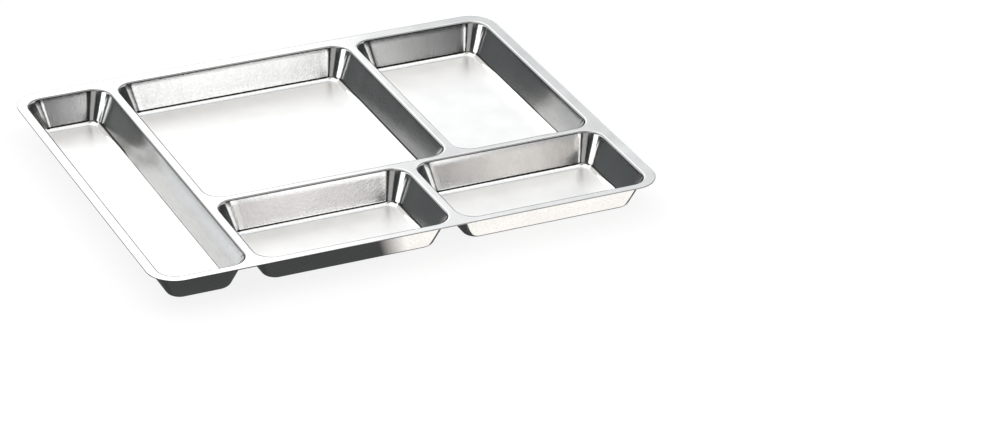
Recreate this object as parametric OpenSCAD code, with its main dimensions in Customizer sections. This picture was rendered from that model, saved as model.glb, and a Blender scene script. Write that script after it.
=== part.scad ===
// Divided compartment plate, pressed from one sheet of stainless steel.
// A flat rim carries five drawn pockets: a long one on the left, two behind and two in front.
// The real plate is one sheet. Here it is parted into its flat rim and its five pockets
// where each mouth bend starts, so the nodes meet face to face and never overlap.
// The origin lies under the middle of the plate, at the level of the pockets' undersides.

/* [Plate] */
// Length of the rim along its long side
plate_w = 400; // [350:1:480]
// Length of the rim from front to back
plate_l = 311.5; // [250:0.5:400]
// Radius of the four outer corners of the rim
rim_corner_r = 22; // [10:1:30]
// Thickness of the steel sheet
sheet_t = 0.8; // [0.5:0.1:1.2]

/* [Rim and ridges] */
// Flat rim to the left of the long pocket
left_margin = 6.4; // [4:0.1:20]
// Flat rim to the right of the right-hand pockets
right_margin = 8.1; // [4:0.1:20]
// Flat rim in front of the front pockets
front_margin = 5.6; // [4:0.1:20]
// Flat rim behind the back pockets
back_margin = 8.6; // [4:0.1:20]
// Flat top of the ridges that run from front to back
ridge_w = 4.3; // [2:0.1:15]
// Flat top of the ridge that runs from left to right
row_ridge_w = 3.3; // [2:0.1:15]

/* [Pockets] */
// Mouth width of the long cutlery pocket
cutlery_w = 68.5; // [50:0.1:90]
// Mouth width of the main pocket
main_w = 194.5; // [150:0.1:220]
// Mouth width of the front middle pocket
front_middle_w = 153.5; // [100:0.1:190]
// Mouth length, front to back, of the two front pockets
front_row_l = 93.3; // [60:0.1:130]
// Depth from the rim's top face down to the pockets' floors
pocket_depth = 24; // [18:0.5:26]

/* [Press tool] */
// Corner radius of a pocket's mouth, seen from above
mouth_corner_r = 16; // [16:0.5:24]
// Radius of the top face where the rim bends down into a pocket
mouth_bend_r = 2.2; // [1.3:0.1:3]
// Radius of the top face where a pocket's wall bends into its floor
floor_bend_r = 5; // [3:0.5:6]
// Slope of the pocket walls away from upright, in degrees
wall_draft = 23; // [5:1:25]

/* [Hidden] */
$fn = 96;
rim_steel = [0.90, 0.91, 0.92];
pocket_steel = [0.74, 0.75, 0.77];

// Heights of the rim's top face and of the floors' top face
top_z = sheet_t + pocket_depth;
floor_z = sheet_t;

// How far a pocket's wall drops between its bends and comes in from the mouth to the floor.
// Both bends stop where they have turned to the wall's own slope.
wall_drop = pocket_depth - (mouth_bend_r + floor_bend_r) * (1 - sin(wall_draft));
floor_in = (mouth_bend_r + floor_bend_r) * cos(wall_draft) + wall_drop * tan(wall_draft);

// Flat strokes that each bend is drawn with
mouth_bend_steps = 5;
floor_bend_steps = 9;

// Places and sizes of the pocket mouths, from the front left corner of the rim
column_x = left_margin + cutlery_w + ridge_w;
side_x = column_x + main_w + ridge_w;
side_w = plate_w - right_margin - side_x;
front_right_x = column_x + front_middle_w + ridge_w;
front_right_w = plate_w - right_margin - front_right_x;
back_y = front_margin + front_row_l + row_ridge_w;
back_row_l = plate_l - back_margin - back_y;
cutlery_l = plate_l - back_margin - front_margin;

// Each mouth is its front left corner and its width and length
cutlery_mouth = [[left_margin, front_margin], [cutlery_w, cutlery_l]];
main_mouth = [[column_x, back_y], [main_w, back_row_l]];
side_mouth = [[side_x, back_y], [side_w, back_row_l]];
front_middle_mouth = [[column_x, front_margin], [front_middle_w, front_row_l]];
front_right_mouth = [[front_right_x, front_margin], [front_right_w, front_row_l]];
mouths = [cutlery_mouth, main_mouth, side_mouth, front_middle_mouth, front_right_mouth];

// A rectangle with round corners, seen from above, with its front left corner at zero
module rounded_plan(size, r) {
    translate([r, 0]) square([size[0] - 2 * r, size[1]]);
    translate([0, r]) square([size[0], size[1] - 2 * r]);
    for (x = [r, size[0] - r], y = [r, size[1] - r])
        translate([x, y]) circle(r);
}

// Points along a bend about a centre, from one angle to another
function bend_points(centre, r, from_angle, to_angle, steps) =
    [for (k = [0:steps])
        let (a = from_angle + (to_angle - from_angle) * k / steps)
            centre + r * [cos(a), sin(a)]];

// The section of a pocket's sheet, from its mouth line to a corner's upright axis:
// x is the distance from that axis, and y the height above the pocket's underside.
// The top face runs down the wall and in over the floor, and the underside runs back.
module wall_section() {
    mouth_centre = [mouth_corner_r, top_z - mouth_bend_r];
    floor_centre = [mouth_corner_r - floor_in, floor_z + floor_bend_r];
    wall_angle = 180 - wall_draft;
    polygon([
        each bend_points(mouth_centre, mouth_bend_r, 90, wall_angle, mouth_bend_steps),
        each bend_points(floor_centre, floor_bend_r, -wall_draft, -90, floor_bend_steps),
        [0, floor_z],
        [0, 0],
        each bend_points(floor_centre, floor_bend_r + sheet_t, -90, -wall_draft,
                         floor_bend_steps),
        each bend_points(mouth_centre, mouth_bend_r - sheet_t, wall_angle, 90,
                         mouth_bend_steps)
    ]);
}

// One drawn pocket: the section turned round four corners and run along four sides,
// and the rest of the floor between them.
module drawn_pocket(mouth) {
    near = mouth_corner_r;
    far = mouth[1] - [near, near];
    corners = [far, [near, far[1]], [near, near], [far[0], near]];
    runs = [far[1] - near, far[0] - near];
    translate(mouth[0]) {
        for (k = [0:3])
            translate(corners[k]) rotate(90 * k) {
                rotate_extrude(angle = 90) wall_section();
                rotate([90, 0, 0]) linear_extrude(runs[k % 2]) wall_section();
            }
        translate(corners[2]) cube([runs[1], runs[0], sheet_t]);
    }
}

// Puts the middle of the plate over the origin
module centred() {
    translate([-plate_w / 2, -plate_l / 2]) children();
}

module rim_flange() {
    color(rim_steel) centred()
        translate([0, 0, top_z - sheet_t]) linear_extrude(sheet_t)
            difference() {
                rounded_plan([plate_w, plate_l], rim_corner_r);
                for (mouth = mouths)
                    translate(mouth[0]) rounded_plan(mouth[1], mouth_corner_r);
            }
}

module cutlery_pocket() {
    color(pocket_steel) centred() drawn_pocket(cutlery_mouth);
}

module main_pocket() {
    color(pocket_steel) centred() drawn_pocket(main_mouth);
}

module side_pocket() {
    color(pocket_steel) centred() drawn_pocket(side_mouth);
}

module front_middle_pocket() {
    color(pocket_steel) centred() drawn_pocket(front_middle_mouth);
}

module front_right_pocket() {
    color(pocket_steel) centred() drawn_pocket(front_right_mouth);
}

rim_flange();
cutlery_pocket();
main_pocket();
side_pocket();
front_middle_pocket();
front_right_pocket();
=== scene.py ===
# %% [markdown]
# A divided compartment plate, pressed from one sheet of satin stainless steel.
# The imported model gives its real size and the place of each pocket. This script dresses that
# model: one seamless sheet, a finish for its faces and its cut edge, a pale floor, soft studio
# light, a card and a camera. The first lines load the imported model. Every length is in metres.

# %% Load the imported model
import math
import bpy
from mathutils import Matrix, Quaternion, Vector


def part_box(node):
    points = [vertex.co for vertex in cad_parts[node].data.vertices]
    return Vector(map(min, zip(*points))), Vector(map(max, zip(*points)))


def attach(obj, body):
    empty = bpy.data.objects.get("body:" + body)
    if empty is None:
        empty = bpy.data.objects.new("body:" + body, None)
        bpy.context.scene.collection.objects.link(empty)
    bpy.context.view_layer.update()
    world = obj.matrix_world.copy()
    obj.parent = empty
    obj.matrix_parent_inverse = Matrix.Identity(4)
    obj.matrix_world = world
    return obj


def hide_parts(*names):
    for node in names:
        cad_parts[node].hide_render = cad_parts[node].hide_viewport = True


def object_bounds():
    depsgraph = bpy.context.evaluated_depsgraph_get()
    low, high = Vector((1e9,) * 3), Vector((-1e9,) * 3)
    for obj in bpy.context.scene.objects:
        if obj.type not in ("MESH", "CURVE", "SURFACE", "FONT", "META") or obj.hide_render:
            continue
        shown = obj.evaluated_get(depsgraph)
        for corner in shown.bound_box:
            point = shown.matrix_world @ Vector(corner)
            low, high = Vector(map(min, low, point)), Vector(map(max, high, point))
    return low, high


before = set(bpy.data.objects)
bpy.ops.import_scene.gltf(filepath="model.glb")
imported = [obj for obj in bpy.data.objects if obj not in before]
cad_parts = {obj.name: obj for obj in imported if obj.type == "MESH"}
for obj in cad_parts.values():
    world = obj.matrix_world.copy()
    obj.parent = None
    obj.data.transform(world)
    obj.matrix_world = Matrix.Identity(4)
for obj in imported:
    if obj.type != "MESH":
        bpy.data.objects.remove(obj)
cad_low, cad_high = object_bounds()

print("plate size:", [round(side, 4) for side in cad_high - cad_low])

# %% [markdown]
# The real plate starts as a flat steel sheet. A press tool pushes five pockets down into it,
# and the sheet rolls over the tool's edges in two bends: a small one at the mouth and a large
# one at the floor. The pockets' places are read from the model, so that the dressed sheet stays
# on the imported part. Only the tool's radii, its slope and the floors' small rise are written here.

# %% Sizes of the sheet, the pockets and the press tool
MM = 0.001
SAME_POINT = 0.001 * MM
POCKETS = ["cutlery_pocket", "main_pocket", "side_pocket", "front_middle_pocket",
           "front_right_pocket"]
rim_low, rim_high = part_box("rim_flange")
sheet_t = rim_high.z - rim_low.z
rim_corner_r = 22 * MM
mouth_corner_r = 15.5 * MM
floor_corner_r = 6.5 * MM
mouth_bend_r = 2.2 * MM
floor_bend_r = 5 * MM
wall_draft = math.radians(23)
floor_crown = 0.25 * MM
for pocket in POCKETS:
    low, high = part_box(pocket)
    print(pocket, "mouth", [round(side / MM, 1) for side in (high - low)[:2]], "mm")

# %% [markdown]
# The sheet could be shaped by hand or cut out of a block, but then a size could not be changed
# later. Geometry Nodes write it as a rule, so each size stays a named input. The rule is
# arithmetic, and long chains of Math nodes are hard to read. The small class below lets Python's
# own signs add those nodes, so a formula in the script looks like a formula.

# %% A value that adds nodes by Python's signs
class Flow:
    """A value on its way through a node tree. The signs + - * / add Math nodes for it."""

    def __init__(self, tree, socket):
        self.tree = tree
        self.socket = socket

    def math(self, operation, *others, swap=False):
        node = self.tree.nodes.new("ShaderNodeMath")
        node.operation = operation
        values = (*others, self) if swap else (self, *others)
        for socket, value in zip(node.inputs, values):
            feed(self.tree, socket, value)
        return Flow(self.tree, node.outputs[0])

    def __add__(self, other):
        return self.math("ADD", other)

    def __sub__(self, other):
        return self.math("SUBTRACT", other)

    def __rsub__(self, other):
        return self.math("SUBTRACT", other, swap=True)

    def __mul__(self, other):
        return self.math("MULTIPLY", other)

    def __truediv__(self, other):
        return self.math("DIVIDE", other)

    def __rtruediv__(self, other):
        return self.math("DIVIDE", other, swap=True)

    __radd__ = __add__

    def between(self, start, end, low=0.0, high=1.0, style="LINEAR"):
        """Maps start to low and end to high, and holds still outside them."""
        return add(self.tree, "ShaderNodeMapRange", interpolation_type=style, Value=self,
                   From_Min=start, From_Max=end, To_Min=low, To_Max=high)[0]


print("Flow adds Math nodes for the signs + - * /")

# %% Helpers that add nodes and feed them
def feed(tree, socket, value):
    """Links a flow to a socket, or sets the socket to a plain value."""
    if isinstance(value, Flow):
        tree.links.new(value.socket, socket)
    else:
        socket.default_value = value


def add(tree, kind, **given):
    """Adds a node and returns its outputs. Words in lower case are its settings, and the
    others are its inputs."""
    node = tree.nodes.new(kind)
    for name in filter(str.islower, given):
        setattr(node, name, given[name])
    for name in given:
        if not name.islower():
            feed(tree, node.inputs[name.replace("_", " ")], given[name])
    return [Flow(tree, socket) for socket in node.outputs]


print("add makes a node, and feed sets or links one input")

# %% Helpers that start a node tree and finish it
NODE_STEP_X, NODE_STEP_Y = 220, 190


def new_tree(name, kind, inputs, outputs):
    """Makes a node tree with named inputs and outputs, and returns it with its inputs' flows."""
    tree = bpy.data.node_groups.new(name, kind)
    for way, table in (("INPUT", inputs), ("OUTPUT", outputs)):
        for title, (short, value) in table.items():
            socket = tree.interface.new_socket(
                name=title, in_out=way, socket_type="NodeSocket" + short)
            if value is not None:
                socket.default_value = value
    source = tree.nodes.new("NodeGroupInput")
    return tree, {socket.name: Flow(tree, socket) for socket in source.outputs if socket.name}


def finish_tree(tree, **results):
    """Feeds the tree's outputs and lays its nodes out."""
    target = tree.nodes.new("NodeGroupOutput")
    for name, value in results.items():
        feed(tree, target.inputs[name.replace("_", " ")], value)
    lay_out(tree, target)
    return tree


def lay_out(tree, target):
    """Puts each node in a column by how many steps it lies before the last node."""
    column = {target: 0}
    waiting = [target]
    while waiting:
        node = waiting.pop()
        for link in (link for socket in node.inputs for link in socket.links):
            if column.get(link.from_node, -1) <= column[node]:
                column[link.from_node] = column[node] + 1
                waiting.append(link.from_node)
    filled = {}
    for node in tree.nodes:
        place = column.get(node, 0)
        node.location = (-NODE_STEP_X * place, -NODE_STEP_Y * filled.get(place, 0))
        filled[place] = filled.get(place, 0) + 1


print("node columns every", NODE_STEP_X, "units")

# %% [markdown]
# Every ring round a pocket, and the rim itself, is a rectangle with round corners. One rule
# walks round it: a quarter turn on a corner, then a straight run to the next corner, four times.
# A rounded rectangle from a curve node would look the same, but its points would shift as its
# size changes. This rule keeps each point at its own step of the walk, so the rings' points match.

# %% Rule for a walk round a rectangle with round corners
def make_outline_rule():
    tree, given = new_tree(
        "rounded_outline", "GeometryNodeTree",
        {"Step": ("Float", 0.0), "Half Width": ("Float", 0.1), "Half Length": ("Float", 0.1),
         "Radius": ("Float", 0.01), "Corner Steps": ("Float", 12.0),
         "Side Steps": ("Float", 30.0)},
        {"Place": ("Vector", None)})
    quarter_steps = given["Corner Steps"] + given["Side Steps"]
    quarter = (given["Step"] / quarter_steps).math("FLOOR")
    within = given["Step"] - quarter * quarter_steps
    turned = (within / given["Corner Steps"]).math("MINIMUM", 1.0)
    slid = ((within - given["Corner Steps"]) / given["Side Steps"]).math("MAXIMUM", 0.0)
    angle = (quarter + turned) * (math.pi / 2)
    here = (quarter + 0.5) * (math.pi / 2)
    there = (quarter + 1.5) * (math.pi / 2)
    sides = []
    for wave, half in (("COSINE", given["Half Width"]), ("SINE", given["Half Length"])):
        corner = here.math(wave).math("SIGN")
        next_corner = there.math(wave).math("SIGN")
        centre = (corner + slid * (next_corner - corner)) * (half - given["Radius"])
        sides.append(centre + given["Radius"] * angle.math(wave))
    place = add(tree, "ShaderNodeCombineXYZ", X=sides[0], Y=sides[1])[0]
    return finish_tree(tree, Place=place)


outline_rule = make_outline_rule()
print("outline rule:", len(outline_rule.nodes), "nodes")

# %% [markdown]
# A pocket is drawn down by a punch, and its sheet rolls over the tool's edges. A box with
# bevelled edges could stand in for it, but a bevel can't give the mouth and the floor corners of
# their own. Here a pocket is a set of rings. Going inwards, they roll over the mouth bend, run
# down the wall, roll through the floor bend and shrink over the floor. Each of these four stages
# has its own progress from 0 to 1, and a ring's inset and drop are sums over the stages.
# The corners' radius in plan shrinks less than the inset grows, as on a real drawn pocket. A
# plain sweep round the mouth would make them too sharp at the floor.
# The floor rises a little towards its middle, because a pressed floor springs back.

# %% Rings of a pocket
STAGE_STEPS = {"mouth bend": 6, "wall": 5, "floor bend": 14, "floor": 8}
RINGS = 2 + sum(STAGE_STEPS.values())


def stage_progress(ring):
    """The progress of each stage at a ring. Ring 0 lies on the rim, just outside the mouth."""
    progress = []
    start = 1
    for steps in STAGE_STEPS.values():
        progress.append(ring.between(start, start + steps))
        start += steps
    return progress


print("rings:", RINGS, STAGE_STEPS)

# %% Rule for one drawn pocket
def make_pocket_rule():
    tree, given = new_tree(
        "drawn_pocket", "GeometryNodeTree",
        {"Low": ("Vector", None), "High": ("Vector", None), "Sheet": ("Float", 0.001),
         "Mouth Corner": ("Float", 0.015), "Floor Corner": ("Float", 0.008),
         "Mouth Bend": ("Float", 0.001), "Floor Bend": ("Float", 0.008),
         "Draft": ("Float", 0.3), "Crown": ("Float", 0.0), "Support": ("Float", 0.0004),
         "Corner Steps": ("Int", 12), "Spacing": ("Float", 0.005)},
        {"Pocket": ("Geometry", None)})
    low = add(tree, "ShaderNodeSeparateXYZ", Vector=given["Low"])
    high = add(tree, "ShaderNodeSeparateXYZ", Vector=given["High"])
    half_width = (high[0] - low[0]) / 2
    half_length = (high[1] - low[1]) / 2
    depth = high[2] - low[2] - given["Sheet"]
    side_steps = (half_width.math("MAXIMUM", half_length) * 2 / given["Spacing"]).math("CEIL")
    around = (given["Corner Steps"] + side_steps) * 4
    grid = add(tree, "GeometryNodeMeshGrid", Vertices_X=around + 1, Vertices_Y=RINGS)[0]
    index = add(tree, "GeometryNodeInputIndex")[0]
    step = ((index + 0.5) / RINGS).math("FLOOR")
    ring = index - step * RINGS
    mouth_run, wall_run, floor_bend_run, floor_run = stage_progress(ring)

    # The straight wall takes what the two bends leave over of the drop and of the inset
    steepest = math.pi / 2 - given["Draft"]
    bends = given["Mouth Bend"] + given["Floor Bend"]
    wall_drop = depth - bends * (1 - given["Draft"].math("SINE"))
    wall_in = wall_drop * given["Draft"].math("TANGENT")
    mouth_angle = steepest * mouth_run
    floor_angle = steepest * (1 - floor_bend_run)
    inset = (given["Mouth Bend"] * mouth_angle.math("SINE") + wall_in * wall_run
             + given["Floor Bend"] * (steepest.math("SINE") - floor_angle.math("SINE")))
    drop = (given["Mouth Bend"] * (1 - mouth_angle.math("COSINE")) + wall_drop * wall_run
            + given["Floor Bend"] * (floor_angle.math("COSINE") - steepest.math("COSINE")))
    whole_inset = bends * steepest.math("SINE") + wall_in
    inset = inset - ring.math("LESS_THAN", 0.5) * given["Support"]

    share = inset / whole_inset
    radius = given["Mouth Corner"] + (given["Floor Corner"] - given["Mouth Corner"]) * share
    outline = {"node_tree": outline_rule, "Step": step,
               "Corner_Steps": given["Corner Steps"], "Side_Steps": side_steps}
    on_ring = add(tree, "GeometryNodeGroup", Half_Width=half_width - inset,
                  Half_Length=half_length - inset, Radius=radius, **outline)[0]
    at_mouth = add(tree, "GeometryNodeGroup", Half_Width=half_width, Half_Length=half_length,
                   Radius=given["Mouth Corner"], **outline)[0]
    spread = 1 - floor_run * floor_run
    ring_xyz = add(tree, "ShaderNodeSeparateXYZ", Vector=on_ring)
    place = add(tree, "ShaderNodeCombineXYZ",
                X=(low[0] + high[0]) / 2 + ring_xyz[0] * spread,
                Y=(low[1] + high[1]) / 2 + ring_xyz[1] * spread,
                Z=high[2] - drop + given["Crown"] * (1 - spread * spread))[0]
    shaped = add(tree, "GeometryNodeSetPosition", Geometry=grid, Position=place)[0]

    # What the finish needs to know about each point is kept on the mesh under plain names
    mouth_xyz = add(tree, "ShaderNodeSeparateXYZ", Vector=at_mouth)
    path = add(tree, "ShaderNodeCombineXYZ", X=mouth_xyz[0], Y=mouth_xyz[1], Z=drop + inset)[0]
    bend = (mouth_run * (1 - mouth_run) + floor_bend_run * (1 - floor_bend_run)) * 4
    for name, kind, value in (("ring", "FLOAT", ring), ("wall_share", "FLOAT", share),
                              ("bend", "FLOAT", bend), ("draw_path", "FLOAT_VECTOR", path)):
        shaped = add(tree, "GeometryNodeStoreNamedAttribute", data_type=kind, Geometry=shaped,
                     Name=name, Value=value)[0]
    merged = add(tree, "GeometryNodeMergeByDistance", Geometry=shaped, Distance=SAME_POINT)[0]
    return finish_tree(tree, Pocket=merged)


pocket_rule = make_pocket_rule()
print("pocket rule:", len(pocket_rule.nodes), "nodes")

# %% [markdown]
# The whole sheet is the five pockets, a narrow strip along the outer edge, and the flat rim and
# ridges that lie between them. Booleans could cut the pockets' mouths out of a flat plate, but
# the cut's points would not meet the pockets' own. Here the flat part is filled from the loops
# that the other pieces end in, so all of them share their points and merge into one sheet. The
# loops lie a little way from the bends, which keeps the shading of the flat part flat.
# A real sheet is never quite true, so the rim sags and the walls wave by small amounts.

# %% Loops and the outer strip of the sheet
def edge_loop(tree, mesh, ring):
    """The closed curve along this ring. An edge between two rings has a number half way."""
    nearness = 0.25
    number = add(tree, "GeometryNodeInputNamedAttribute", data_type="FLOAT", Name="ring")[0]
    chosen = number.math("COMPARE", ring, nearness)
    return add(tree, "GeometryNodeMeshToCurve", Mesh=mesh, Selection=chosen)[0]


def make_edge_strip(tree, given):
    """The outermost strip of the rim: ring 0 is the cut edge, and ring 1 lies just inside."""
    low = add(tree, "ShaderNodeSeparateXYZ", Vector=given["Rim Low"])
    high = add(tree, "ShaderNodeSeparateXYZ", Vector=given["Rim High"])
    half_width = (high[0] - low[0]) / 2
    half_length = (high[1] - low[1]) / 2
    side_steps = (half_width * 2 / given["Spacing"]).math("CEIL")
    around = (given["Corner Steps"] + side_steps) * 4
    grid = add(tree, "GeometryNodeMeshGrid", Vertices_X=around + 1, Vertices_Y=2)[0]
    index = add(tree, "GeometryNodeInputIndex")[0]
    step = ((index + 0.5) / 2).math("FLOOR")
    ring = index - step * 2
    inset = ring * given["Support"] * 2
    place = add(tree, "GeometryNodeGroup", node_tree=outline_rule, Step=step,
                Half_Width=half_width - inset, Half_Length=half_length - inset,
                Radius=given["Rim Corner"] - inset, Corner_Steps=given["Corner Steps"],
                Side_Steps=side_steps)[0]
    xyz = add(tree, "ShaderNodeSeparateXYZ", Vector=place)
    raised = add(tree, "ShaderNodeCombineXYZ", X=xyz[0] + (low[0] + high[0]) / 2,
                 Y=xyz[1] + (low[1] + high[1]) / 2, Z=high[2])[0]
    strip = add(tree, "GeometryNodeSetPosition", Geometry=grid, Position=raised)[0]
    for name, value in (("ring", ring), ("edge", 1 - ring)):
        strip = add(tree, "GeometryNodeStoreNamedAttribute", data_type="FLOAT", Geometry=strip,
                    Name=name, Value=value)[0]
    strip = add(tree, "GeometryNodeMergeByDistance", Geometry=strip, Distance=SAME_POINT)[0]
    return strip, high[2]


def join(tree, parts):
    """Joins several geometries."""
    node = tree.nodes.new("GeometryNodeJoinGeometry")
    for part in parts:
        tree.links.new(part.socket, node.inputs[0])
    return Flow(tree, node.outputs[0])


print("loops: the strip's inner one and ring 0 of", len(POCKETS), "pockets")

# %% Rule for the whole pressed sheet
SIZES = {"Mouth Corner": mouth_corner_r, "Floor Corner": floor_corner_r,
         "Mouth Bend": mouth_bend_r, "Floor Bend": floor_bend_r, "Draft": wall_draft,
         "Crown": floor_crown, "Support": 0.4 * MM, "Sheet": sheet_t, "Spacing": 5 * MM}
SLOW_WAVES, QUICK_WAVES = 11, 28
SAME_SEAM = 0.01 * MM


def make_sheet_rule():
    inputs = {"Finish": ("Material", None), "Rim Low": ("Vector", None),
              "Rim High": ("Vector", None), "Rim Corner": ("Float", rim_corner_r),
              "Corner Steps": ("Int", 14), "Sag": ("Float", 0.0), "Wave": ("Float", 0.0)}
    inputs |= {name: ("Float", size) for name, size in SIZES.items()}
    for pocket in POCKETS:
        inputs[pocket + " low"] = ("Vector", None)
        inputs[pocket + " high"] = ("Vector", None)
    tree, given = new_tree("pressed_sheet", "GeometryNodeTree", inputs,
                           {"Sheet": ("Geometry", None)})
    strip, top = make_edge_strip(tree, given)
    parts = [strip]
    loops = [edge_loop(tree, strip, 1)]
    shared = {name.replace(" ", "_"): given[name] for name in [*SIZES, "Corner Steps"]}
    for pocket in POCKETS:
        made = add(tree, "GeometryNodeGroup", node_tree=pocket_rule, Low=given[pocket + " low"],
                   High=given[pocket + " high"], **shared)[0]
        parts.append(made)
        loops.append(edge_loop(tree, made, 0))
    filled = add(tree, "GeometryNodeFillCurve", mode="TRIANGLES", Curve=join(tree, loops))[0]
    lift = add(tree, "ShaderNodeCombineXYZ", Z=top)[0]
    parts.append(add(tree, "GeometryNodeSetPosition", Geometry=filled, Offset=lift)[0])
    sheet = add(tree, "GeometryNodeMergeByDistance", Distance=SAME_SEAM,
                Geometry=join(tree, parts))[0]

    # The rim sags downwards and the floors rise, so neither leaves the model's box
    share = add(tree, "GeometryNodeInputNamedAttribute", data_type="FLOAT",
                Name="wall_share")[0].between(0, 1)
    slow = add(tree, "ShaderNodeTexNoise", Scale=SLOW_WAVES, Detail=1)[0].between(0.25, 0.75)
    rise = add(tree, "ShaderNodeCombineXYZ", Z=given["Sag"] * slow * (share * 2 - 1))[0]
    sheet = add(tree, "GeometryNodeSetPosition", Geometry=sheet, Offset=rise)[0]
    quick = add(tree, "ShaderNodeTexNoise", Scale=QUICK_WAVES, Detail=1)[0] - 0.5
    normal = add(tree, "GeometryNodeInputNormal")[0]
    push = add(tree, "ShaderNodeVectorMath", operation="SCALE", Vector=normal,
               Scale=given["Wave"] * quick * share * (1 - share) * 4)[0]
    sheet = add(tree, "GeometryNodeSetPosition", Geometry=sheet, Offset=push)[0]
    smooth = add(tree, "GeometryNodeSetShadeSmooth", Geometry=sheet)[0]
    real = add(tree, "GeometryNodeRealizeInstances", Geometry=smooth)[0]
    dressed = add(tree, "GeometryNodeSetMaterial", Geometry=real, Material=given["Finish"])[0]
    return finish_tree(tree, Sheet=dressed)


sheet_rule = make_sheet_rule()
print("sheet rule:", len(sheet_rule.nodes), "nodes")

# %% [markdown]
# The steel reflects the room, so its finish is mostly a matter of how sharp that reflection is.
# Rolled and pressed sheet has a fine grain like orange peel, which scatters the light a little
# and sparkles on the stretched walls. The bends were rubbed by the tool and are smoother.
# A picture of steel would repeat and would have to be unwrapped onto the sheet. Noise on the
# object's own coordinates needs neither. The effects are shader groups that give heights and
# masks, so each finish can use them anew.

# %% Grain of the pressed sheet
MOTTLES = 45


def make_grain():
    tree, given = new_tree(
        "steel_grain", "ShaderNodeTree",
        {"Place": ("Vector", None), "Grain": ("Float", 0.001), "Height": ("Float", 0.00001)},
        {"Height": ("Float", None), "Grain": ("Float", None), "Mottle": ("Float", None)})
    fine = add(tree, "ShaderNodeTexNoise", Vector=given["Place"], Scale=1 / given["Grain"],
               Detail=3, Roughness=0.6)[0]
    broad = add(tree, "ShaderNodeTexNoise", Vector=given["Place"], Scale=MOTTLES, Detail=4)[0]
    return finish_tree(tree, Height=(fine - 0.5) * given["Height"],
                       Grain=fine.between(0.35, 0.65), Mottle=broad.between(0.3, 0.7))


grain_group = make_grain()
print("grain:", len(grain_group.nodes), "nodes")

# %% [markdown]
# Where the sheet slid down over the tool, it carries faint upright streaks. They follow the
# pocket round its mouth, which plain object coordinates can't do. So they are drawn on the path
# that the pocket rule stored on the mesh, stretched down the wall.

# %% Streaks of the draw
def make_streaks():
    tree, given = new_tree(
        "draw_streaks", "ShaderNodeTree",
        {"Path": ("Vector", None), "Streak": ("Float", 0.002), "Stretch": ("Float", 12.0)},
        {"Streak": ("Float", None)})
    xyz = add(tree, "ShaderNodeSeparateXYZ", Vector=given["Path"])
    down = xyz[2] / given["Stretch"]
    place = add(tree, "ShaderNodeCombineXYZ", X=xyz[0], Y=xyz[1], Z=down)[0]
    lines = add(tree, "ShaderNodeTexNoise", Vector=place, Scale=1 / given["Streak"],
                Detail=2)[0]
    return finish_tree(tree, Streak=lines.between(0.3, 0.7))


streak_group = make_streaks()
print("streaks:", len(streak_group.nodes), "nodes")

# %% [markdown]
# The face of the sheet puts these together. All steel is fully metallic, and its colour is a
# light neutral grey that varies a little. The grain is stronger on the walls than on the flat
# rim and floors, the bends are a little glossier, and the floors are duller.
# In the photograph thin dark lines run round the mouths and along the outer edge. Here they are
# painted
# reflections: the steel's colour is darker in the mouth bends and in a narrow band at that edge, and
# this painted shade shows from every side.

# %% Helpers for steel
def blend_colours(tree, share, first, second):
    """A colour between two others. A Mix node has sockets for each kind of data, and the ones
    for colours are its inputs 6 and 7 and its output 2."""
    node = tree.nodes.new("ShaderNodeMix")
    node.data_type = "RGBA"
    for number, value in ((0, share), (6, first), (7, second)):
        feed(tree, node.inputs[number], value)
    return Flow(tree, node.outputs[2])


def new_steel(name):
    """A new steel material, its node tree and its shader node."""
    material = bpy.data.materials.new(name)
    material.use_nodes = True
    steel = material.node_tree.nodes["Principled BSDF"]
    steel.inputs["Metallic"].default_value = 1.0
    return material, material.node_tree, steel


def finish_steel(tree, steel, colour, rough, height):
    """Feeds a steel's colour, roughness and bump, and lays its nodes out."""
    bump = add(tree, "ShaderNodeBump", Strength=1.0, Distance=1.0, Height=height)[0]
    for name, value in (("Base Color", colour), ("Roughness", rough), ("Normal", bump)):
        feed(tree, steel.inputs[name], value)
    lay_out(tree, tree.nodes["Material Output"])


print("steel helpers: blend_colours, new_steel, finish_steel")

# %% Finish of the sheet's faces
# Outputs of the coordinates node and of the attribute node, by number
GENERATED, OBJECT = 0, 3
VECTOR, NUMBER = 1, 2
FACE_COLOURS = (0.61, 0.61, 0.605, 1), (0.66, 0.66, 0.655, 1)
GRAIN_SHADE = (0.45, 0.45, 0.45, 1)
# Colour of the painted dark reflection lines in the mouth bends and along the outer edge
PAINTED_REFLECTION_SHADE = (0.15, 0.15, 0.15, 1)
FACE_ROUGH = 0.12
MORE_ROUGH = {"mottle": 0.03, "streak": 0.015, "floor": 0.21, "bend": 0.08}


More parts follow.
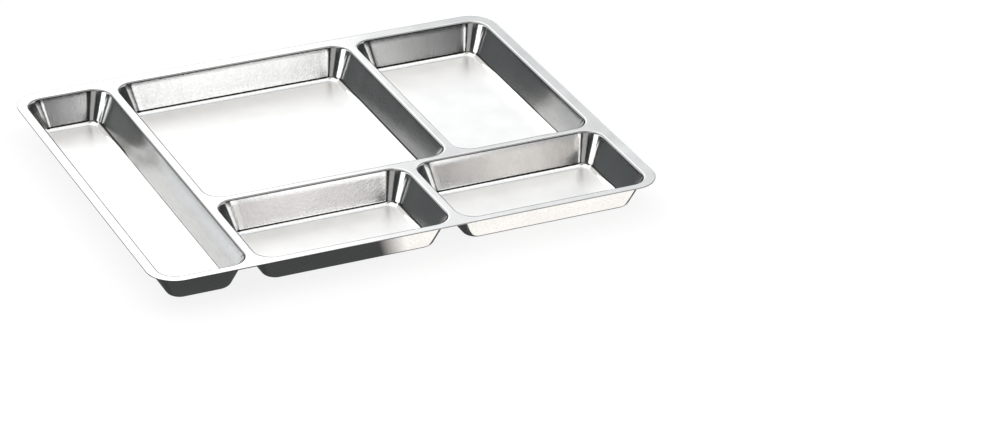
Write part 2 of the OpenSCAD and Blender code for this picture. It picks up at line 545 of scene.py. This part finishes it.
def make_satin_steel():
    material, tree, steel = new_steel("satin_steel_face")
    place = add(tree, "ShaderNodeTexCoord")[OBJECT]
    share, bend, edge = (add(tree, "ShaderNodeAttribute", attribute_name=name)[NUMBER]
                         for name in ("wall_share", "bend", "edge"))
    path = add(tree, "ShaderNodeAttribute", attribute_name="draw_path")[VECTOR]
    height, grain, mottle = add(tree, "ShaderNodeGroup", node_tree=grain_group, Place=place,
                                Grain=1.2 * MM, Height=0.038 * MM)
    streak = add(tree, "ShaderNodeGroup", node_tree=streak_group, Path=path)[0]
    share = share.between(0, 1)
    wall = share * (1 - share) * 4
    floor = share.between(0.9, 1)
    rough = (FACE_ROUGH + mottle * MORE_ROUGH["mottle"] + streak * wall * MORE_ROUGH["streak"]
             + floor * MORE_ROUGH["floor"] - bend.between(0, 0.4) * MORE_ROUGH["bend"])
    colour = blend_colours(tree, mottle, *FACE_COLOURS)
    pitted = (1 - grain) * wall.between(0, 0.5, 0.0, 0.45)
    colour = blend_colours(tree, pitted, colour, GRAIN_SHADE)
    # Painted reflection: the mouth bends and a narrow band at the outer edge get a darker colour,
    # standing in for dark reflected lines
    painted_mouth_reflection = bend.between(0.4, 0.95) * share.between(0.1, 0.3, 0.9, 0.0)
    painted_edge_reflection = edge.between(0.1, 0.9, 0.0, 0.85)
    colour = blend_colours(tree, painted_mouth_reflection.math("MAXIMUM", painted_edge_reflection), colour, PAINTED_REFLECTION_SHADE)
    finish_steel(tree, steel, colour, rough, height * wall.between(0, 1, 0.2, 1.0))
    return material


satin_steel = make_satin_steel()
print("finish:", satin_steel.name)

# %% [markdown]
# The blank was cut by shears and then brushed, so its edge is duller and darker than the faces.
# The same grain group serves here with a finer grain, which is simpler than a second effect.

# %% Finish of the cut edge
EDGE_COLOURS = (0.36, 0.36, 0.36, 1), (0.48, 0.48, 0.475, 1)
EDGE_ROUGH = 0.3


def make_cut_edge_steel():
    material, tree, steel = new_steel("sheared_steel_edge")
    place = add(tree, "ShaderNodeTexCoord")[OBJECT]
    height, _, mottle = add(tree, "ShaderNodeGroup", node_tree=grain_group, Place=place,
                            Grain=0.3 * MM, Height=0.03 * MM)
    colour = blend_colours(tree, mottle, *EDGE_COLOURS)
    finish_steel(tree, steel, colour, EDGE_ROUGH + mottle * 0.1, height)
    return material


cut_edge_steel = make_cut_edge_steel()
print("finish:", cut_edge_steel.name)

# %% [markdown]
# The rule now runs once. Its inputs are set through the names' identifiers before the sheet is
# first evaluated, the result is copied to a plain mesh, and the rule is taken off. The underside
# could be a second run of the rule, but two common modifiers do it more simply. One gives the
# sheet its thickness below the top face, and one rounds the cut edge by as much as a deburring
# brush does.

# %% Press the sheet
def run_rule(rule, values, name):
    """Runs a geometry rule with these input values and returns the result as a plain object."""
    carrier = bpy.data.objects.new(name + "_rule", bpy.data.meshes.new(name + "_rule"))
    bpy.context.scene.collection.objects.link(carrier)
    modifier = carrier.modifiers.new("rule", "NODES")
    modifier.node_group = rule
    for socket in rule.interface.items_tree:
        if socket.in_out == "INPUT" and socket.name in values:
            modifier[socket.identifier] = values[socket.name]
    evaluated = carrier.evaluated_get(bpy.context.evaluated_depsgraph_get())
    mesh = bpy.data.meshes.new_from_object(evaluated)
    mesh.name = name
    bpy.data.objects.remove(carrier)
    made = bpy.data.objects.new(name, mesh)
    bpy.context.scene.collection.objects.link(made)
    return made


values = SIZES | {"Finish": satin_steel, "Rim Low": rim_low, "Rim High": rim_high,
                  "Rim Corner": rim_corner_r, "Sag": 0.12 * MM, "Wave": 0.12 * MM}
for pocket in POCKETS:
    values[pocket + " low"], values[pocket + " high"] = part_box(pocket)
sheet = run_rule(sheet_rule, values, "pressed_steel_sheet")
up = sum(face.normal.z * face.area for face in sheet.data.polygons)
print("sheet:", len(sheet.data.polygons), "faces, area facing up:", round(up, 4),
      "square metres")

# %% Thickness and cut edge of the sheet
DEBURRED_R = 0.2 * MM
sheet.data.materials.append(cut_edge_steel)
thickness = sheet.modifiers.new("sheet thickness", "SOLIDIFY")
thickness.thickness = sheet_t
thickness.offset = -1
thickness.use_even_offset = True
thickness.use_quality_normals = True
thickness.material_offset_rim = 1
rounding = sheet.modifiers.new("deburred edge", "BEVEL")
rounding.width = DEBURRED_R
rounding.material = 1
rounding.segments = 3
rounding.limit_method = "ANGLE"
rounding.angle_limit = math.radians(60)

finished = sheet.evaluated_get(bpy.context.evaluated_depsgraph_get()).data
finished.calc_loop_triangles()
print("finished sheet:", len(finished.loop_triangles), "triangles")

# %% Place of the sheet in the part
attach(sheet, "root")
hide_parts("rim_flange", *POCKETS)
print("nodes that the sheet replaces:", 1 + len(POCKETS))

# %% [markdown]
# The plate stands on a plain pale floor. The photograph shows the outside of the pockets nearly
# black, so mirror rays that go down from the steel must find a dark ground and not the pale
# floor. The floor is therefore left out of mirror rays, which then see the lower half of the
# world. It could be lit by the studio alone, but then the plate's shadow would be heavy, so most
# of its brightness is its own glow. From below the floor is clear, to show the underside.

# %% Floor
FLOOR_SIZE = 12
FLOOR_MATT = (0.13, 0.13, 0.13, 1)
FLOOR_GLOW = (0.87, 0.87, 0.87, 1)
BACK_FACE = 6


def join_shaders(tree, kind, *values):
    """Adds or mixes shaders."""
    node = tree.nodes.new(kind)
    for socket, value in zip(node.inputs, values):
        feed(tree, socket, value)
    return Flow(tree, node.outputs[0])


def lay_flat(name, left, right, front, back, height, make_look):
    """A level rectangle whose material is written by a function."""
    corners = [(left, front, height), (right, front, height), (right, back, height),
               (left, back, height)]
    mesh = bpy.data.meshes.new(name)
    mesh.from_pydata(corners, [], [(0, 1, 2, 3)])
    material = bpy.data.materials.new("pale_" + name)
    material.use_nodes = True
    tree = material.node_tree
    tree.nodes.clear()
    output = tree.nodes.new("ShaderNodeOutputMaterial")
    feed(tree, output.inputs["Surface"], make_look(tree))
    lay_out(tree, output)
    mesh.materials.append(material)
    flat = bpy.data.objects.new(name, mesh)
    bpy.context.scene.collection.objects.link(flat)
    return flat


def floor_look(tree):
    matt = add(tree, "ShaderNodeBsdfDiffuse", Color=FLOOR_MATT)[0]
    glow = add(tree, "ShaderNodeEmission", Color=FLOOR_GLOW)[0]
    both = join_shaders(tree, "ShaderNodeAddShader", matt, glow)
    clear = add(tree, "ShaderNodeBsdfTransparent")[0]
    from_below = add(tree, "ShaderNodeNewGeometry")[BACK_FACE]
    return join_shaders(tree, "ShaderNodeMixShader", from_below, both, clear)


reach = FLOOR_SIZE / 2
floor = lay_flat("floor", -reach, reach, -reach, reach, cad_low.z, floor_look)
floor.visible_glossy = False
print("floor:", FLOOR_SIZE, "m wide at height", round(cad_low.z, 4))

# %% [markdown]
# Steel shows its surroundings, so the studio is built as a world of large soft panels. A picture
# of a real room could serve, but then no reflection could be moved by itself. Each panel is a
# patch of the sky with a place, a size, a soft edge and a brightness, and a later one lies over
# the earlier ones. Directions are in degrees: 0 looks to the back of the plate, 90 to its right,
# 180 to its front. The camera itself sees a plain white background.

# %% Panels of the studio
PANELS = {
    # name: azimuth, elevation, width, height, soft edge, brightness, tint
    "overhead": (0, 88, 720, 60, 14, 1.95, (1, 0.965, 0.925)),
    "right top glow": (106, 59, 26, 22, 8, 9.0, (1, 0.975, 0.95)),
    "left top dim": (145, 70, 42, 26, 8, 0.9, (1, 0.98, 0.95)),
    "back sheet": (20, 60, 190, 80, 4, 1.52, (0.98, 0.99, 1)),
    "back right dim": (34, 22, 20, 13, 3, 0.9, (0.96, 0.98, 1)),
    "back low glow": (33, 19, 12, 7, 3, 2.7, (0.95, 0.98, 1)),
    "back left sheet": (-12, 50, 70, 62, 5, 2.3, (1, 1, 1)),
    "front reflector": (170, 60, 80, 36, 24, 1.6, (1, 0.97, 0.94)),
    "front dark": (170, 35.5, 120, 29, 3, 0.015, (1, 1, 1)),
    "left front dim": (-136, 36, 30, 14, 4, 0.25, (0.9, 0.98, 1)),
    "front faint": (-157, 22, 30, 28, 4, 0.6, (1, 0.98, 0.96)),
    "front top dim": (-170, 66, 50, 22, 8, 0.35, (1, 0.99, 0.98)),
    "right strip": (127, 6, 26, 16, 6, 2.0, (1, 0.99, 0.975)),
    "left strip": (-90, 12, 26, 34, 5, 3.0, (1, 1, 1)),
    "dark ground": (160, -60, 300, 60, 14, 0.10, (0.95, 1, 1)),
}
SKY_LOW = (0.05, 0.053, 0.056, 1)
GROUND = (0.07, 0.073, 0.076, 1)
print("studio panels:", len(PANELS))

# %% Shader group for one panel
def make_panel_group():
    tree, given = new_tree(
        "studio_panel", "ShaderNodeTree",
        {"Behind": ("Color", None), "Direction": ("Vector", None), "Azimuth": ("Float", 0.0),
         "Elevation": ("Float", 0.0), "Width": ("Float", 90.0), "Height": ("Float", 40.0),
         "Edge": ("Float", 10.0), "Light": ("Color", None)},
        {"Seen": ("Color", None)})
    turned = add(tree, "ShaderNodeVectorRotate", rotation_type="Z_AXIS",
                 Vector=given["Direction"], Angle=given["Azimuth"] * (math.pi / 180))[0]
    xyz = add(tree, "ShaderNodeSeparateXYZ", Vector=turned)
    aside = xyz[0].math("ARCTAN2", xyz[1]).math("ABSOLUTE") * (180 / math.pi)
    raised = xyz[2].math("ARCSINE") * (180 / math.pi)
    above = (raised - given["Elevation"]).math("ABSOLUTE")
    half_edge = given["Edge"] / 2
    share = None
    for distance, size in ((aside, given["Width"]), (above, given["Height"])):
        inside = distance.between(size / 2 + half_edge, size / 2 - half_edge,
                                  style="SMOOTHSTEP")
        share = inside if share is None else share * inside
    seen = blend_colours(tree, share, given["Behind"], given["Light"])
    return finish_tree(tree, Seen=seen)


panel_group = make_panel_group()
print("panel:", len(panel_group.nodes), "nodes")

# %% Studio world
WHITE = (1, 1, 1, 1)


def make_world():
    world = bpy.data.worlds.new("studio")
    world.use_nodes = True
    tree = world.node_tree
    tree.nodes.clear()
    direction = add(tree, "ShaderNodeTexCoord")[GENERATED]
    height = add(tree, "ShaderNodeSeparateXYZ", Vector=direction)[2]
    seen = blend_colours(tree, height.between(-0.02, 0.02), GROUND, SKY_LOW)
    for azimuth, elevation, width, tall, edge, light, tint in PANELS.values():
        colour = (*(light * part for part in tint), 1)
        seen = add(tree, "ShaderNodeGroup", node_tree=panel_group, Behind=seen,
                   Direction=direction, Azimuth=azimuth, Elevation=elevation, Width=width,
                   Height=tall, Edge=edge, Light=colour)[0]
    studio = add(tree, "ShaderNodeBackground", Color=seen)[0]
    plain = add(tree, "ShaderNodeBackground", Color=WHITE)[0]
    to_camera = add(tree, "ShaderNodeLightPath")[0]
    output = tree.nodes.new("ShaderNodeOutputWorld")
    feed(tree, output.inputs["Surface"],
         join_shaders(tree, "ShaderNodeMixShader", to_camera, studio, plain))
    lay_out(tree, output)
    bpy.context.scene.world = world


make_world()
bpy.context.scene.view_settings.view_transform = "Standard"
print("world nodes:", len(bpy.context.scene.world.node_tree.nodes))

# %% [markdown]
# A panel of the world is endlessly far, so its mirror image stays the same all along a flat
# wall. In the photograph the light changes along the far walls. So four lamps stand near the
# plate, in front of it and to the right, and their images move along the walls that face them.
# The two high ones light the back row, and the two low ones light the front row.

# %% Soft lamps
LAMPS = {
    # name: place, width, height, brightness, tint
    "high lamp": ((0.44, -1.164, 0.46), 0.28, 0.18, 1.6, (1, 1, 1)),
    "high right lamp": ((0.655, -1.16, 0.43), 0.09, 0.14, 0.8, (1, 1, 1)),
    "low lamp": ((0.32, -1.10, 0.18), 0.19, 0.30, 0.9, (1, 0.955, 0.93)),
    "low right lamp": ((0.59, -1.10, 0.18), 0.09, 0.30, 1.5, (1, 0.94, 0.88)),
}
# Watts for each square metre of a lamp at a brightness of 1
LAMP_POWER = 4


def make_lamps():
    for name, (place, width, tall, light, tint) in LAMPS.items():
        lamp = bpy.data.lights.new(name, "AREA")
        lamp.shape = "RECTANGLE"
        lamp.size, lamp.size_y = width, tall
        lamp.energy = LAMP_POWER * width * tall * light
        lamp.color = tint
        holder = bpy.data.objects.new(name, lamp)
        bpy.context.scene.collection.objects.link(holder)
        holder.location = place
        holder.rotation_mode = "QUATERNION"
        holder.rotation_quaternion = (-holder.location).to_track_quat("-Z", "Y")
        holder.visible_camera = False


make_lamps()
print("lamps:", len(LAMPS))

# %% [markdown]
# A pale card lies on the floor before the plate's right half, where a photographer would put one
# to lift a dark side. Only mirror rays find it, and it brightens the outside of the front walls
# there. A panel of the world would light the whole front alike, but the card's light ends where
# the card ends. It fades in over a short way at its left end.

# %% Reflector card
CARD_LEFT, CARD_RIGHT = -20 * MM, 215 * MM
CARD_FRONT, CARD_BACK = -195 * MM, -139.5 * MM
CARD_LIFT = 0.05 * MM
CARD_FADE = 20 * MM
CARD_TINT = (1, 0.97, 0.94, 1)


def card_look(tree):
    place = add(tree, "ShaderNodeTexCoord")[OBJECT]
    across = add(tree, "ShaderNodeSeparateXYZ", Vector=place)[0]
    light = across.between(CARD_LEFT, CARD_LEFT + CARD_FADE, 0.1, 1.6)
    return add(tree, "ShaderNodeEmission", Color=CARD_TINT, Strength=light)[0]


card = lay_flat("card", CARD_LEFT, CARD_RIGHT, CARD_FRONT, CARD_BACK, cad_low.z + CARD_LIFT,
                card_look)
card.visible_camera = False
card.visible_diffuse = False
card.visible_shadow = False
print("card:", round((CARD_RIGHT - CARD_LEFT) / MM), "mm wide")

# %% [markdown]
# The camera stands where the photographer stood: in front, to the left and about 29 degrees
# above the plate, far away behind a long lens. It could be aimed by eye, but its place and lens
# were fitted to the plate's corners in the image. The whole image has 1000 pixels from side to
# side, and the focal length was found in those pixels.

# %% Camera
IMAGE_WIDTH = 1000
FOCAL_PIXELS = 3850
HALF_PIXEL = 0.5 / IMAGE_WIDTH
CAMERA_PLACE = Vector((-1.0233, -2.34075, 1.3584))
CAMERA_AZIMUTH = math.radians(26.48)
CAMERA_ELEVATION = math.radians(28.774)
CAMERA_ROLL = math.radians(1.984)


def make_camera():
    lens = bpy.data.cameras.new("camera")
    lens.lens = FOCAL_PIXELS / IMAGE_WIDTH * lens.sensor_width
    lens.shift_x = -HALF_PIXEL
    lens.shift_y = HALF_PIXEL
    camera = bpy.data.objects.new("camera", lens)
    bpy.context.scene.collection.objects.link(camera)
    level = math.cos(CAMERA_ELEVATION)
    look = Vector((math.sin(CAMERA_AZIMUTH) * level, math.cos(CAMERA_AZIMUTH) * level,
                   -math.sin(CAMERA_ELEVATION)))
    upright = look.to_track_quat("-Z", "Y")
    camera.rotation_mode = "QUATERNION"
    camera.rotation_quaternion = upright @ Quaternion((0, 0, 1), CAMERA_ROLL)
    camera.location = CAMERA_PLACE
    bpy.context.scene.camera = camera


make_camera()
print("camera:", round(CAMERA_PLACE.length, 2), "m from the plate")
